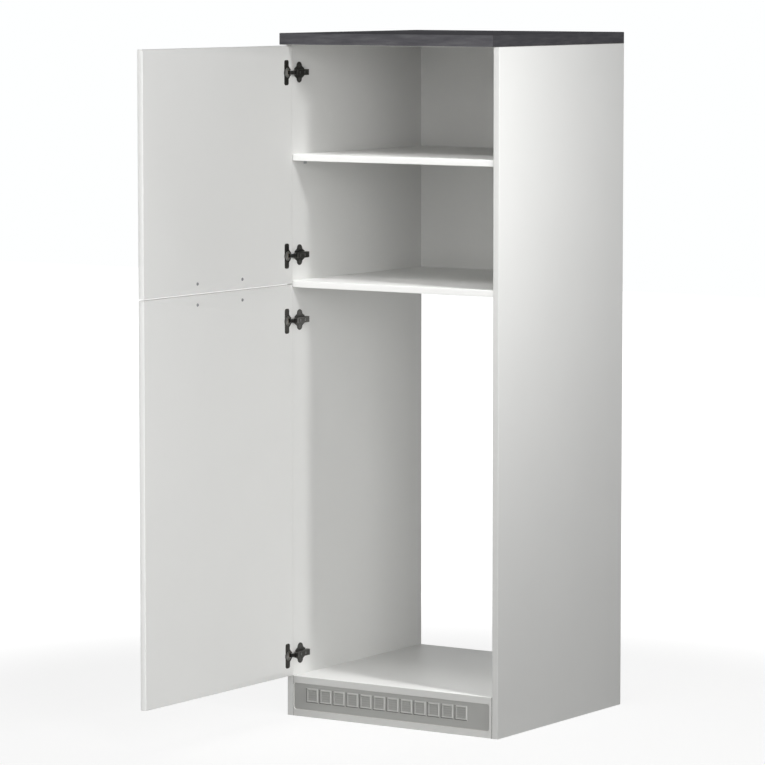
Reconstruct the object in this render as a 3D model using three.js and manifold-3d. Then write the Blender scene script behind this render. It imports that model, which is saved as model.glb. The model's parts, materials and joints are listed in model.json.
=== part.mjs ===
// Fridge housing unit: a tall carcass, open behind the fridge, with two doors on concealed hinges.
// Lengths are in millimetres. The origin is on the floor, under the middle of the plinth board.
// X runs to the right, Y to the back and Z up. Both doors stand open at a right angle.

import * as THREE from 'three';
import { mergeVertices } from 'three/addons/utils/BufferGeometryUtils.js';
import Module from 'manifold-3d';

const wasm = await Module();
wasm.setup();

// Carcass boards
const width = 600;
const height = 1650;
const carcassDepth = 572;
const boardThickness = 16;
const topThickness = 28;
const topOverhang = 28;
const topEdgeRadius = 1;
const fixedShelfTop = 1057.5;
const looseShelfPlaceShare = 0.5376;
const looseShelfSetback = 2;
const looseShelfPlay = 0.5;
const looseShelfBackGap = 8;
const frontEdgeRadius = 1;
const backThickness = 3;
const rebateDepth = 8;
const plinthHeight = 98;
const fitGap = 0.3;
const overrun = 4;

// Doors
const doorThickness = 16;
const doorEdgeRadius = 1.2;
const doorReveal = 2;
const doorStandOff = 3;
const doorGap = 3;
const doorTopGap = 2;
const doorPlinthGap = 2;
const pivotInset = 6;
const pivotForward = 14;
const lowerHingeRise = 50;
const lowerHingeDrop = 86.5;
const upperHingeRise = 67;
const upperHingeDrop = 64;

// Hinge cup in the door
const cupDiameter = 26;
const cupInset = 6;
const cupDepth = 10.5;
const cupWall = 1.2;
const cupBoreSpare = 0.5;
const flangeThickness = 1.2;
const flangeLength = 60;
const flangeWidth = 17;
const flangeCorner = 5;
const flangeShift = 4;
const flangeRim = 1;
const shoulderWidth = 31;
const notchPlay = 0.7;
const notchDepthShare = 0.667;
const cupDowelSpacing = 48;
const cupDowelDiameter = 8;
const cupDowelLength = 9;
const cupDowelHeadDiameter = 6.5;
const cupDowelHeadRise = 0.7;

// Hinge link between the arm and the cup
const linkWidth = 8.6;
const linkThickness = 2.2;
const linkEyeRadius = 3.2;
const linkNoseRadius = 1.5;
const noseInsetShare = 0.792;
const noseDepthShare = 0.271;
const linkBendShares = [0.673, 0.28];
const linkBendAngles = [-116, -53];

// Hinge arm. Its pin's lift is measured from the open door's inner face, the rest from the carcass front
const pinLift = 7.5;
const pinForward = 6;
const pinDiameter = 3;
const armWall = 1.2;
const armLift = 0.5;
const armLinkPlay = 0.5;
const armFlare = 1;
const armTail = 57;
const armTailRadius = 4;
const armStep = 4;
const armFoot = 10;
const armScrewDiameter = 6.4;
const armScrewRise = 0.8;
const armScrewSlot = 1;
const armScrewPlaceShares = [0.28, 0.62];

// Hinge mounting plate on the side panel
const plateThickness = 2;
const plateCentre = 30;
const plateEndMargin = 9;
const plateWingWidth = 21;
const plateWaist = 40;
const plateWaistHeight = 18;
const saddleFront = 12;
const saddleBack = 49;
const saddleChamfer = 3;
const plateScrewSpacing = 32;
const plateScrewDiameter = 4.8;
const plateScrewHead = 9;
const plateScrewLength = 11;

// Handles on the outer faces
const handleLength = 196;
const handleEndMargin = 8;
const handleHeight = 12;
const handleProjection = 28;
const handleBar = 5;
const handleFoot = 9;
const handleCorner = 9;
const handleMargin = 23;
const handleScrewDiameter = 4;
const handleScrewGrip = 7;
const handleScrewHead = 7.5;
const handleScrewHeadRise = 2.2;

// Vent grille in the plinth board
const grilleLeftMargin = 2;
const grilleRightMargin = 8;
const grilleRise = 17;
const grilleTopMargin = 17;
const grilleCorner = 6;
const grilleThickness = 3;
const grilleRecess = 2;
const grilleLedge = 6;
const cellGap = 2.2;
const cellRim = 6.5;
const cellCrest = 1.2;
const cellRimRise = 2.4;
const cellRowStart = 34.8;
const cellRowEnd = 50;
const cellRowRise = 18;
const cellRowDrop = 9.5;
const slatCount = 4;
const slatThickness = 1.4;
const slatSlope = 5;
const clipWidth = 10;
const clipThickness = 1.8;
const clipHook = 1.5;
const clipCount = 3;
const clipMargin = 46;

// Fittings
const camDiameter = 15;
const camHeight = 12.4;
const camInset = 24;
const camSlotWidth = 1.6;
const camSlotDepth = 1;
const boltDiameter = 7;
const boltTipDiameter = 4.6;
const boltTipLength = 11;
const fittingInset = 60;
const topDowelDiameter = 8;
const topDowelLength = 35;
const topDowelRise = 14;
const topDowelInset = 90;
const plinthDowelDiameter = 6;
const plinthDowelLength = 30;
const plinthDowelReach = 10;
const plinthDowelDrop = 8.5;
const shelfPinDiameter = 5;
const shelfPinReach = 8;
const shelfPinInset = 55;
const bracketWidth = 10;
const bracketLength = 9;
const bracketHeight = 9;
const bracketThickness = 2;

// Planes and places that the boards share
const inner = width / 2 - boardThickness;
const front = -boardThickness / 2;
const back = front + carcassDepth;
const topUnderside = height - topThickness;
const fixedShelfUnderside = fixedShelfTop - boardThickness;
const looseShelfTop = fixedShelfTop + looseShelfPlaceShare * (topUnderside - fixedShelfTop);
const looseShelfUnderside = looseShelfTop - boardThickness;
const shelfBack = back - backThickness;
const plinthBack = front + boardThickness;
const bottomUnderside = plinthHeight - boardThickness;
const doorSplit = fixedShelfTop - boardThickness / 2;
const doorWidth = width - 2 * doorReveal;
const lowerDoorSpan = [plinthHeight + doorPlinthGap, doorSplit - doorGap / 2];
const upperDoorSpan = [doorSplit + doorGap / 2, topUnderside - doorTopGap];
const lowerHinges = [lowerDoorSpan[0] + lowerHingeRise, lowerDoorSpan[1] - lowerHingeDrop];
const upperHinges = [upperDoorSpan[0] + upperHingeRise, upperDoorSpan[1] - upperHingeDrop];
const pivotX = -inner - pivotInset;
const pivotY = front - pivotForward;

// Sizes in the hinge that follow from the door's place and from each other
const openDoorRise = pivotForward - doorStandOff - pivotInset;
const pinRise = openDoorRise + pinLift;
const armRise = pinRise + armLift;
const notchWidth = linkWidth + 2 * notchPlay;
const armNoseWidth = linkWidth + 2 * (armLinkPlay + armWall);
const armWidth = armNoseWidth + 2 * armFlare;
const saddleWidth = armWidth - 2 * (armWall + fitGap);
const plateLength = plateScrewSpacing + 2 * plateEndMargin;

// Smooth round parts get this many flat sides
const roundSides = 16;
const smallSides = 10;
const cupSides = 24;

const melamine = { color: 0xeeeeea, roughness: 0.45, metalness: 0 };
const slate = { color: 0x56585c, roughness: 0.55, metalness: 0 };
const greyPlastic = { color: 0xa9aaa6, roughness: 0.5, metalness: 0 };
const bronzedSteel = { color: 0x5b5a57, roughness: 0.4, metalness: 0.9 };
const zinc = { color: 0x9a9c9e, roughness: 0.35, metalness: 0.9 };
const brushedSteel = { color: 0xb9bbbd, roughness: 0.3, metalness: 0.95 };
const beech = { color: 0xd0a873, roughness: 0.7, metalness: 0 };

// Closed geometry becomes a solid that can be joined and cut
function solid(geometry) {
  const bare = geometry.clone();
  bare.deleteAttribute('normal');
  bare.deleteAttribute('uv');
  const merged = mergeVertices(bare);
  const vertProperties = Float32Array.from(merged.attributes.position.array);
  const triVerts = Uint32Array.from(merged.index.array);
  return new wasm.Manifold(new wasm.Mesh({ numProp: 3, vertProperties, triVerts }));
}

function joined(first, ...others) {
  return others.reduce((whole, piece) => whole.add(piece), first);
}

function cut(whole, ...tools) {
  return tools.reduce((rest, tool) => rest.subtract(tool), whole);
}

// A solid becomes a named mesh in its own material
function piece(name, body, finish) {
  const { vertProperties, triVerts } = body.getMesh();
  const geometry = new THREE.BufferGeometry();
  geometry.setAttribute('position', new THREE.BufferAttribute(vertProperties, 3));
  geometry.setIndex(new THREE.BufferAttribute(triVerts, 1));
  geometry.computeVertexNormals();
  const mesh = new THREE.Mesh(geometry, new THREE.MeshStandardMaterial(finish));
  mesh.name = name;
  return mesh;
}

// A box between two opposite corners, given in any order
function box(cornerA, cornerB) {
  const low = new THREE.Vector3(...cornerA).min(new THREE.Vector3(...cornerB));
  const high = new THREE.Vector3(...cornerA).max(new THREE.Vector3(...cornerB));
  const size = high.clone().sub(low);
  const middle = low.clone().add(high).divideScalar(2);
  return solid(new THREE.BoxGeometry(size.x, size.y, size.z).translate(middle.x, middle.y, middle.z));
}

// A round bar from one point to another, narrowing if a second radius is given
function rod(radius, from, to, sides = roundSides, endRadius = radius) {
  const start = new THREE.Vector3(...from);
  const span = new THREE.Vector3(...to).sub(start);
  const geometry = new THREE.CylinderGeometry(endRadius, radius, span.length(), sides);
  const upright = new THREE.Vector3(0, 1, 0);
  geometry.applyQuaternion(new THREE.Quaternion().setFromUnitVectors(upright, span.clone().normalize()));
  const middle = start.add(span.divideScalar(2));
  return solid(geometry.translate(middle.x, middle.y, middle.z));
}

// A slender round part
function peg(diameter, from, to) {
  return rod(diameter / 2, from, to, smallSides);
}

// The hole that such a part fits in, with clearance round it
function bore(diameter, from, to) {
  return rod(diameter / 2 + fitGap, from, to, smallSides);
}

// How an outline's own axes lie in the part: seen from above, from below, from the front or from the side
const xAxis = new THREE.Vector3(1, 0, 0);
const yAxis = new THREE.Vector3(0, 1, 0);
const zAxis = new THREE.Vector3(0, 0, 1);
const fromAbove = new THREE.Matrix4();
const fromBelow = new THREE.Matrix4().makeBasis(yAxis, xAxis, zAxis.clone().negate());
const fromFront = new THREE.Matrix4().makeBasis(xAxis, zAxis, yAxis.clone().negate());
const fromSide = new THREE.Matrix4().makeBasis(yAxis, zAxis, xAxis);

// An outline drawn in one of those views and made thick; the thickness runs to -Y from the front
// and to -Z from below
function slab(outline, thickness, view, offset, edgeRadius = 0) {
  const bevelled = edgeRadius > 0;
  const geometry = new THREE.ExtrudeGeometry(outline, {
    depth: thickness - 2 * edgeRadius,
    bevelEnabled: bevelled,
    bevelThickness: edgeRadius,
    bevelSize: edgeRadius,
    bevelOffset: -edgeRadius,
    bevelSegments: 2,
    curveSegments: roundSides / 4,
  });
  geometry.translate(0, 0, edgeRadius);
  geometry.applyMatrix4(view);
  return solid(geometry.translate(...offset));
}

function rectangle(left, right, low, high) {
  const outline = new THREE.Shape();
  outline.moveTo(left, low);
  outline.lineTo(right, low);
  outline.lineTo(right, high);
  outline.lineTo(left, high);
  outline.closePath();
  return outline;
}

function roundedRectangle(left, right, low, high, radius) {
  const outline = new THREE.Shape();
  outline.moveTo(left + radius, low);
  outline.lineTo(right - radius, low);
  outline.absarc(right - radius, low + radius, radius, -Math.PI / 2, 0);
  outline.lineTo(right, high - radius);
  outline.absarc(right - radius, high - radius, radius, 0, Math.PI / 2);
  outline.lineTo(left + radius, high);
  outline.absarc(left + radius, high - radius, radius, Math.PI / 2, Math.PI);
  outline.lineTo(left, low + radius);
  outline.absarc(left + radius, low + radius, radius, Math.PI, 1.5 * Math.PI);
  return outline;
}

// A board's section, with its depth along the first axis: its front edge band has two rounded corners
function boardSection(frontEdge, backEdge, low, high) {
  const radius = frontEdgeRadius;
  const outline = new THREE.Shape();
  outline.moveTo(backEdge, low);
  outline.lineTo(backEdge, high);
  outline.lineTo(frontEdge + radius, high);
  outline.absarc(frontEdge + radius, high - radius, radius, Math.PI / 2, Math.PI);
  outline.lineTo(frontEdge, low + radius);
  outline.absarc(frontEdge + radius, low + radius, radius, Math.PI, 1.5 * Math.PI);
  outline.closePath();
  return outline;
}

// A shelf of that section between two side panels
function bandedShelf(reach, frontEdge, backEdge, underside) {
  const section = boardSection(frontEdge, backEdge, underside, underside + boardThickness);
  return slab(section, 2 * reach, fromSide, [-reach, 0, 0]);
}

// Places along the depth of the carcass where each board is fixed
const fittingPlaces = [front + fittingInset, back - fittingInset];
const topDowelPlaces = [front + topDowelInset, back - topDowelInset];
const shelfPinPlaces = [front + shelfPinInset, back - shelfPinInset];
const shelfPinHeight = looseShelfUnderside - bracketHeight / 2;
const plinthDowelHeight = plinthHeight - plinthDowelDrop;
const camBoardCentres = [fixedShelfTop - boardThickness / 2, plinthHeight - boardThickness / 2];

// Side panels stand on the floor. The left one carries the hinges' mounting plates.
function sidePanel(side) {
  const face = side * inner;
  const bores = [];
  for (const y of fittingPlaces) {
    for (const z of camBoardCentres) {
      const depth = face + side * (boltTipLength + fitGap);
      bores.push(bore(boltTipDiameter, [face - side * overrun, y, z], [depth, y, z]));
    }
  }
  for (const y of topDowelPlaces) {
    const x = side * (inner + boardThickness / 2);
    const low = topUnderside - topDowelLength + topDowelRise - fitGap;
    bores.push(bore(topDowelDiameter, [x, y, low], [x, y, topUnderside + overrun]));
  }
  for (const y of shelfPinPlaces) {
    const depth = face + side * (shelfPinReach + fitGap);
    const mouth = [face - side * overrun, y, shelfPinHeight];
    bores.push(bore(shelfPinDiameter, mouth, [depth, y, shelfPinHeight]));
  }
  const dowelY = (front + plinthBack) / 2;
  const dowelEnd = face + side * (plinthDowelReach + fitGap);
  const dowelStart = face - side * overrun;
  const dowelMouth = [dowelStart, dowelY, plinthDowelHeight];
  bores.push(bore(plinthDowelDiameter, dowelMouth, [dowelEnd, dowelY, plinthDowelHeight]));
  const rebateSide = side * (inner + rebateDepth);
  bores.push(box(
    [face - side * overrun, shelfBack, fixedShelfUnderside - fitGap],
    [rebateSide, back + overrun, topUnderside + overrun],
  ));
  if (side < 0) {
    for (const z of [...lowerHinges, ...upperHinges]) {
      for (const end of [-1, 1]) {
        const height = z + end * plateScrewSpacing / 2;
        const y = front + plateCentre;
        const depth = face - plateScrewLength - fitGap;
        bores.push(bore(plateScrewDiameter, [face + overrun, y, height], [depth, y, height]));
      }
    }
  }
  const edges = [face, side * width / 2].sort((a, b) => a - b);
  const section = boardSection(front, back, ...edges);
  return cut(slab(section, topUnderside, fromBelow, [0, 0, topUnderside]), ...bores);
}

// The top plate lies on the side panels, flush at the sides and back, and stands proud at the front
function topPlate() {
  const outline = rectangle(-width / 2, width / 2, front - topOverhang, back);
  const plate = slab(outline, topThickness, fromAbove, [0, 0, topUnderside], topEdgeRadius);
  const bores = [];
  for (const side of [-1, 1]) {
    for (const y of topDowelPlaces) {
      const x = side * (inner + boardThickness / 2);
      const top = topUnderside + topDowelRise + fitGap;
      bores.push(bore(topDowelDiameter, [x, y, topUnderside - overrun], [x, y, top]));
    }
  }
  return cut(plate, ...bores);
}

// A board between the side panels is held at each end by two cam fittings let in from below
function heldBoard(board, underside) {
  const middle = underside + boardThickness / 2;
  const bores = [];
  for (const side of [-1, 1]) {
    for (const y of fittingPlaces) {
      const x = side * (inner - camInset);
      const top = underside + camHeight + fitGap;
      bores.push(rod(camDiameter / 2 + fitGap, [x, y, underside - overrun], [x, y, top]));
      bores.push(bore(boltDiameter, [x, y, middle], [side * (inner + overrun), y, middle]));
    }
  }
  return cut(board, ...bores);
}

// A cam housing with its tightening slot, and the bolt that it draws in from the side panel
function camFitting(side, y, underside) {
  const x = side * (inner - camInset);
  const middle = underside + boardThickness / 2;
  const neck = side * (inner - fitGap);
  const housing = rod(camDiameter / 2, [x, y, underside], [x, y, underside + camHeight]);
  const slotReach = camDiameter / 2 - camSlotWidth;
  const slot = box(
    [x - slotReach, y - camSlotWidth / 2, underside - overrun],
    [x + slotReach, y + camSlotWidth / 2, underside + camSlotDepth],
  );
  const bolt = peg(boltDiameter, [x, y, middle], [neck, y, middle]);
  const tip = peg(boltTipDiameter, [x, y, middle], [side * (inner + boltTipLength), y, middle]);
  return joined(cut(housing, slot), bolt, tip);
}

function topDowel(side, y) {
  const x = side * (inner + boardThickness / 2);
  const top = topUnderside + topDowelRise;
  return peg(topDowelDiameter, [x, y, top - topDowelLength], [x, y, top]);
}

function plinthDowel(side) {
  const outerEnd = inner + plinthDowelReach;
  const y = (front + plinthBack) / 2;
  const from = [side * (outerEnd - plinthDowelLength), y, plinthDowelHeight];
  return peg(plinthDowelDiameter, from, [side * outerEnd, y, plinthDowelHeight]);
}

// A loose shelf's support: a peg in the side panel with a small angle that the shelf lies on
function shelfPin(side, y) {
  const face = side * inner;
  const tray = box(
    [face, y - bracketWidth / 2, looseShelfUnderside - bracketThickness],
    [face - side * bracketLength, y + bracketWidth / 2, looseShelfUnderside],
  );
  const cheek = box(
    [face, y - bracketWidth / 2, looseShelfUnderside - bracketHeight],
    [face - side * bracketThickness, y + bracketWidth / 2, looseShelfUnderside],
  );
  const from = [face - side * bracketThickness / 2, y, shelfPinHeight];
  const tail = peg(shelfPinDiameter, from, [face + side * shelfPinReach, y, shelfPinHeight]);
  return joined(tray, cheek, tail);
}

function backPanel() {
  const reach = inner + rebateDepth - fitGap;
  return box([-reach, shelfBack, fixedShelfUnderside], [reach, back, topUnderside - fitGap]);
}

// The plinth board has a shallow pocket for the grille and a window through to the space below
const grilleLeft = grilleLeftMargin - inner;
const grilleRight = inner - grilleRightMargin;
const grilleLow = grilleRise;
const grilleHigh = plinthHeight - grilleTopMargin;
const pocketFloor = front + grilleRecess + grilleThickness;

function plinthBoard() {
  const board = box([-inner, front, 0], [inner, plinthBack, plinthHeight]);
  const pocketOutline = roundedRectangle(grilleLeft, grilleRight, grilleLow, grilleHigh, grilleCorner);
  const pocketDepth = pocketFloor - front + overrun;
  const pocket = slab(pocketOutline, pocketDepth, fromFront, [0, pocketFloor, 0]);
  const window = box(
    [grilleLeft + grilleLedge, front, grilleLow + grilleLedge],
    [grilleRight - grilleLedge, plinthBack + overrun, grilleHigh - grilleLedge],
  );
  const bores = [-1, 1].map((side) => {
    const y = (front + plinthBack) / 2;
    const end = side * (inner + plinthDowelReach - plinthDowelLength - fitGap);
    const start = [side * (inner + overrun), y, plinthDowelHeight];
    return bore(plinthDowelDiameter, start, [end, y, plinthDowelHeight]);
  });
  return cut(board, pocket, window, ...bores);
}

// One snap clip of the grille: a leg through the window with a hook behind the plinth board
function grilleClip(x, end) {
  const edge = end > 0 ? grilleHigh - grilleLedge : grilleLow + grilleLedge;
  const legOutside = edge - end * fitGap;
  const legInside = legOutside - end * clipThickness;
  const hookStart = plinthBack + fitGap;
  const hookTip = edge + end * clipHook;
  const root = pocketFloor - grilleThickness / 2;
  const outline = new THREE.Shape();
  outline.moveTo(root, legInside);
  outline.lineTo(hookStart + 2 * clipThickness, legInside);
  outline.lineTo(hookStart + 2 * clipThickness, legOutside);
  outline.lineTo(hookStart + clipThickness / 2, hookTip);
  outline.lineTo(hookStart, hookTip);
  outline.lineTo(hookStart, legOutside);
  outline.lineTo(root, legOutside);
  outline.closePath();
  return slab(outline, clipWidth, fromSide, [x - clipWidth / 2, 0, 0]);
}

// As many square cells as the row has room for
const cellLow = grilleLow + cellRowRise;
const cellSize = grilleHigh - cellRowDrop - cellLow;
const cellPitch = cellSize + cellGap;
const cellRowRoom = grilleRight - grilleLeft - cellRowStart - cellRowEnd;
const cellCount = Math.floor((cellRowRoom + cellGap) / cellPitch);

// A square block about a line along Y, whose front and back ends are given by place and half width
function taper(x, z, frontY, frontHalf, backY, backHalf) {
  const corner = Math.SQRT2;
  const depth = backY - frontY;
  const turn = Math.PI / 4;
  const geometry = new THREE.CylinderGeometry(
    backHalf * corner, frontHalf * corner, depth, 4, 1, false, turn,
  );
  return solid(geometry.translate(x, frontY + depth / 2, z));
}

// The grille: a plate with a row of square cells, each framed by a ridge and closed to view by louvres
function ventGrille() {
  const plateFront = pocketFloor - grilleThickness;
  const left = grilleLeft + fitGap;
  const right = grilleRight - fitGap;
  const low = grilleLow + fitGap;
  const outline = roundedRectangle(left, right, low, grilleHigh - fitGap, grilleCorner - fitGap);
  const crestY = plateFront - cellRimRise;
  const slope = (cellRim - cellCrest) / 2;
  const crestOuter = cellSize / 2 - slope;
  const crestInner = crestOuter - cellCrest;
  const windowHalf = crestInner - slope;
  const rims = [];
  const windows = [];
  for (let i = 0; i < cellCount; i += 1) {
    const x = grilleLeft + cellRowStart + i * cellPitch + cellSize / 2;
    const z = cellLow + cellSize / 2;
    rims.push(taper(x, z, crestY, crestOuter, plateFront, cellSize / 2));
    windows.push(
      taper(x, z, crestY - cellRimRise, crestInner + slope, plateFront, windowHalf),
      taper(x, z, crestY, windowHalf, pocketFloor + overrun, windowHalf),
    );
  }
  const plate = slab(outline, grilleThickness, fromFront, [0, pocketFloor, 0]);
  const framed = cut(joined(plate, ...rims), ...windows);
  const slatInset = grilleThickness / 10;
  const slatFront = plateFront + slatInset;
  const slatBack = pocketFloor - slatInset;
  const slatPitch = (cellSize - 2 * cellRim) / slatCount;
  const rowStart = grilleLeft + cellRowStart + cellRim / 2;
  const rowLength = (cellCount - 1) * cellPitch + cellSize - cellRim;
  const slats = [];
  for (let i = 0; i < slatCount; i += 1) {
    const low = cellLow + cellRim + (i + 0.5) * slatPitch - (slatThickness + slatSlope) / 2;
    const section = new THREE.Shape();
    section.moveTo(slatFront, low);
    section.lineTo(slatBack, low + slatSlope);
    section.lineTo(slatBack, low + slatSlope + slatThickness);
    section.lineTo(slatFront, low + slatThickness);
    section.closePath();
    slats.push(slab(section, rowLength, fromSide, [rowStart, 0, 0]));
  }
  const clips = [];
  const clipPitch = (grilleRight - grilleLeft - 2 * clipMargin) / (clipCount - 1);
  for (let i = 0; i < clipCount; i += 1) {
    const x = grilleLeft + clipMargin + i * clipPitch;
    clips.push(grilleClip(x, -1), grilleClip(x, 1));
  }
  return joined(framed, ...slats, ...clips);
}

// Doors are drawn closed, in a frame at the inner face's hinge edge: X along the door, Y into the unit
const cupCentre = boardThickness + cupInset - doorReveal;
const cupRadius = cupDiameter / 2;
const flangeCentre = cupCentre + flangeShift;
const handleScrewSpacing = handleLength - 2 * handleEndMargin;
const handlePlaces = [(doorWidth - handleScrewSpacing) / 2, (doorWidth + handleScrewSpacing) / 2];

function door(span, hinges, handleHeightOnDoor) {
  const outline = rectangle(0, doorWidth, span[0], span[1]);
  const leaf = slab(outline, doorThickness, fromFront, [0, 0, 0], doorEdgeRadius);
  const bores = [];
  for (const z of hinges) {
    const floor = -cupDepth - cupBoreSpare;
    bores.push(rod(cupRadius + fitGap, [cupCentre, overrun, z], [cupCentre, floor, z], cupSides));
    for (const end of [-1, 1]) {
      const height = z + end * cupDowelSpacing / 2;
      const depth = -cupDowelLength - fitGap;
      bores.push(bore(cupDowelDiameter, [flangeCentre, overrun, height], [flangeCentre, depth, height]));
    }
  }
  for (const x of handlePlaces) {
    const z = handleHeightOnDoor;
    const end = -doorThickness - overrun;
    bores.push(bore(handleScrewDiameter, [x, overrun, z], [x, end, z]));
  }
  return cut(leaf, ...bores);
}

// The hinge cup: a pressed bowl with a flange that narrows towards the link in two shoulders,
// two knock-in dowels and a notch for the link
function hingeCup(z) {
  const bowl = rod(cupRadius, [cupCentre, flangeThickness, z], [cupCentre, -cupDepth, z], cupSides);
  const hollow = rod(
    cupRadius - cupWall,
    [cupCentre, flangeThickness + overrun, z],
    [cupCentre, -cupDepth + cupWall, z],
    cupSides,
  );
  const rim = rod(cupRadius + flangeRim, [cupCentre, flangeThickness, z], [cupCentre, 0, z], cupSides);
  const flangeOutline = roundedRectangle(
    flangeCentre - flangeWidth / 2,
    flangeCentre + flangeWidth / 2,
    z - flangeLength / 2,
    z + flangeLength / 2,
    flangeCorner,
  );
  const flange = slab(flangeOutline, flangeThickness, fromFront, [0, flangeThickness, 0]);
  const tipHalf = notchWidth / 2 + cupWall;
  const shoulderOutline = new THREE.Shape();
  shoulderOutline.moveTo(flangeCentre, z - shoulderWidth / 2);
  shoulderOutline.lineTo(flangeCentre, z + shoulderWidth / 2);
  shoulderOutline.lineTo(flangeCentre - flangeWidth / 2, z + shoulderWidth / 2);
  shoulderOutline.lineTo(cupCentre - cupRadius - flangeRim, z + tipHalf);
  shoulderOutline.lineTo(cupCentre - cupRadius - flangeRim, z - tipHalf);
  shoulderOutline.lineTo(flangeCentre - flangeWidth / 2, z - shoulderWidth / 2);
  shoulderOutline.closePath();
  const shoulder = slab(shoulderOutline, flangeThickness, fromFront, [0, flangeThickness, 0]);
  const nearSide = cupCentre - cupRadius - flangeRim - overrun;
  const notch = box(
    [nearSide, flangeThickness + overrun, z - notchWidth / 2],
    [cupCentre - cupRadius / 2, -cupDepth * notchDepthShare, z + notchWidth / 2],
  );
  const dowels = [];
  for (const end of [-1, 1]) {
    const height = z + end * cupDowelSpacing / 2;
    const top = [flangeCentre, flangeThickness / 2, height];
    dowels.push(peg(cupDowelDiameter, top, [flangeCentre, -cupDowelLength, height]));
    const crown = [flangeCentre, flangeThickness + cupDowelHeadRise, height];
    dowels.push(rod(cupDowelHeadDiameter / 2, top, crown, smallSides, cupDowelHeadDiameter / 3));
  }
  return joined(cut(joined(bowl, rim, flange, shoulder), hollow, notch), ...dowels);
}

// A point of the open door, from the door frame above to the hinge frame below
function openDoorPoint(alongDoor, depth) {
  const acrossPivot = doorReveal + alongDoor - boardThickness + pivotInset;
  const pastPivot = pivotForward - doorStandOff - depth;
  return new THREE.Vector2(pastPivot - pivotInset, -acrossPivot - pivotForward);
}

// Hinges are drawn in a frame on the side panel's inner face at the carcass front: X into the unit
const pin = new THREE.Vector2(pinRise, -pinForward);
const linkNose = openDoorPoint(cupCentre - noseInsetShare * cupRadius, noseDepthShare * cupDepth);

function bendPoint(from, share, degrees) {
  const length = share * linkNose.distanceTo(pin);
  const angle = THREE.MathUtils.degToRad(degrees);
  return new THREE.Vector2(Math.cos(angle), Math.sin(angle)).multiplyScalar(length).add(from);
}

// The link is one bent strip, with an eye on the arm's pin and a rolled nose in the cup
function hingeLink(z) {
  const firstBend = bendPoint(pin, linkBendShares[0], linkBendAngles[0]);
  const secondBend = bendPoint(linkNose, linkBendShares[1], linkBendAngles[1]);
  const centreLine = new THREE.CubicBezierCurve(pin, firstBend, secondBend, linkNose);
  const steps = smallSides;
  const outward = [];
  const inward = [];
  for (let i = 0; i <= steps; i += 1) {
    const middle = centreLine.getPoint(i / steps);
    const along = centreLine.getTangent(i / steps);
    const across = new THREE.Vector2(-along.y, along.x).multiplyScalar(linkThickness / 2);
    outward.push(middle.clone().add(across));
    inward.unshift(middle.clone().sub(across));
  }
  const low = z - linkWidth / 2;
  const high = z + linkWidth / 2;
  const strip = slab(new THREE.Shape([...outward, ...inward]), linkWidth, fromAbove, [0, 0, low]);
  const eye = rod(linkEyeRadius, [pin.x, pin.y, low], [pin.x, pin.y, high]);
  const nose = peg(2 * linkNoseRadius, [linkNose.x, linkNose.y, low], [linkNose.x, linkNose.y, high]);
  const pinHole = bore(pinDiameter, [pin.x, pin.y, low - overrun], [pin.x, pin.y, high + overrun]);
  return cut(joined(strip, eye, nose), pinHole);
}

// One wall outline of the arm seen from above, from its tail to the round nose about the pin
function armOutline() {
  const top = armRise;
  const foot = plateThickness + fitGap;
  const noseTop = pinRise + linkEyeRadius;
  const noseLow = pinRise - linkEyeRadius;
  const outline = new THREE.Shape();
  outline.moveTo(foot, armFoot);
  outline.lineTo(foot, armTail);
  outline.lineTo(top - armTailRadius, armTail);
  outline.absarc(top - armTailRadius, armTail - armTailRadius, armTailRadius, Math.PI / 2, 0, true);
  outline.lineTo(top, armStep + armFoot / 2);
  outline.lineTo(noseTop, 0);
  outline.lineTo(noseTop, -pinForward);
  outline.absarc(pinRise, -pinForward, linkEyeRadius, 0, -Math.PI, true);
  outline.lineTo(noseLow, -pinForward / 2);
  outline.closePath();
  return outline;
}

// The arm is a folded channel: wide over the mounting plate, narrower at the nose, open at the pin
function hingeArm(z) {
  const outline = armOutline();
  const webInside = armRise - armWall;
  const noseEnd = pinRise + linkEyeRadius;
  const far = armTail + overrun;
  const wideInside = armWidth / 2 - armWall;
  const noseInside = armNoseWidth / 2 - armWall;
  const noseChannel = box([-overrun, -far, z - noseInside], [webInside, far, z + noseInside]);
  const wide = cut(
    slab(outline, armWidth, fromAbove, [0, 0, z - armWidth / 2]),
    box([-overrun, -far, z - armWidth], [armRise + overrun, armStep, z + armWidth]),
    box([-overrun, armStep + armWall, z - wideInside], [webInside, far, z + wideInside]),
    noseChannel,
  );
  const narrow = cut(
    slab(outline, armNoseWidth, fromAbove, [0, 0, z - armNoseWidth / 2]),
    box([-overrun, armStep + armWall, z - armWidth], [noseEnd + overrun, far, z + armWidth]),
    box(
      [-overrun, -far, z - noseInside],
      [noseEnd + overrun, linkEyeRadius + fitGap - pinForward, z + noseInside],
    ),
    noseChannel,
  );
  const pinLow = [pin.x, pin.y, z - armNoseWidth / 2];
  const pinBar = peg(pinDiameter, pinLow, [pin.x, pin.y, z + armNoseWidth / 2]);
  const screws = armScrewPlaceShares.map((share) => {
    const y = share * armTail;
    const head = peg(armScrewDiameter, [webInside, y, z], [armRise + armScrewRise, y, z]);
    const slot = box(
      [armRise, y - armScrewDiameter, z - armScrewSlot / 2],
      [armRise + armScrewRise + overrun, y + armScrewDiameter, z + armScrewSlot / 2],
    );
    return cut(head, slot);
  });
  return joined(wide, narrow, pinBar, ...screws);
}

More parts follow.
